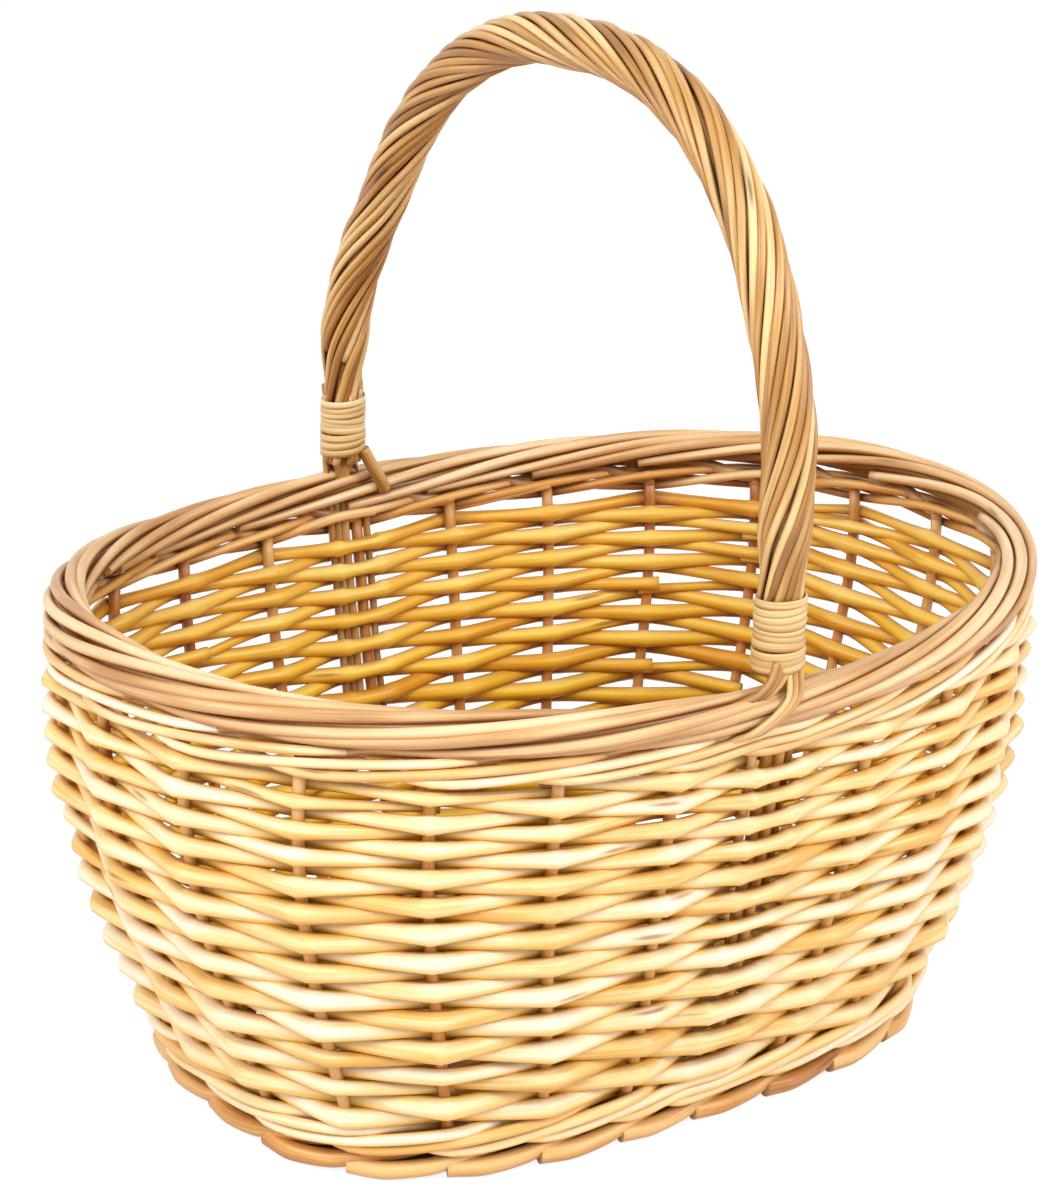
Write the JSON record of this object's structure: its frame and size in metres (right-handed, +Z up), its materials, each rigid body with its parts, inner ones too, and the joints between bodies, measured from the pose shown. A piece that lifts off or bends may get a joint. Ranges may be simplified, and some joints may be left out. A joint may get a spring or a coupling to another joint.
{
  "type": "oval picnic basket with handle",
  "caption": "Oval open picnic basket of round willow woven on upright stakes, with waled bands, a plaited border, a stick base and a fixed roped handle over its middle.",
  "frame": {"origin": "on the ground under the middle of the basket", "axes": "+X along the basket's length, +Y across it from the front foot of the handle to the back one, +Z up"},
  "size_m": [0.4348, 0.3246, 0.4312],
  "materials": {
    "side_willow": "peeled round willow, straw-coloured, lightly varnished",
    "pale_willow": "pale peeled willow of the top wale",
    "border_willow": "pinkish-tan willow of the stakes, the border and the foot",
    "handle_willow": "tan-orange varnished willow rods",
    "base_willow": "amber-brown willow of the base",
    "binding_skein": "split willow skein, wound round the handle's feet"
  },
  "bodies": {
    "root": {"foot_border": "border_willow", "stake_01": "border_willow", "stake_02": "border_willow", "stake_03": "border_willow", "stake_04": "border_willow", "stake_05": "border_willow", "stake_06": "border_willow", "stake_07": "border_willow", "stake_08": "border_willow", "stake_09": "border_willow", "stake_10": "border_willow", "stake_11": "border_willow", "stake_12": "border_willow", "stake_13": "border_willow", "stake_14": "border_willow", "stake_15": "border_willow", "stake_16": "border_willow", "stake_17": "border_willow", "stake_18": "border_willow", "stake_19": "border_willow", "stake_20": "border_willow", "stake_21": "border_willow", "stake_22": "border_willow", "stake_23": "border_willow", "stake_24": "border_willow", "lower_wale_rod_1": "side_willow", "lower_wale_rod_2": "side_willow", "lower_wale_rod_3": "side_willow", "upper_wale_rod_1": "pale_willow", "upper_wale_rod_2": "pale_willow", "upper_wale_rod_3": "pale_willow", "side_weaver_a1": "side_willow", "side_weaver_a2": "side_willow", "side_weaver_b1": "side_willow", "side_weaver_b2": "side_willow", "long_base_stick_1": "base_willow", "long_base_stick_2": "base_willow", "long_base_stick_3": "base_willow", "short_base_stick_1": "base_willow", "short_base_stick_2": "base_willow", "short_base_stick_3": "base_willow", "short_base_stick_4": "base_willow", "short_base_stick_5": "base_willow", "base_weaver_a": "base_willow", "base_weaver_b": "base_willow", "handle_bow": "handle_willow", "handle_bunch_1": "handle_willow", "handle_bunch_2": "handle_willow", "handle_bunch_3": "handle_willow", "handle_bunch_4": "handle_willow", "handle_bunch_5": "handle_willow", "front_binding": "binding_skein", "back_binding": "binding_skein", "front_liner_1": "handle_willow", "front_liner_2": "handle_willow", "back_liner_1": "handle_willow", "back_liner_2": "handle_willow"}
  },
  "joints": []
}
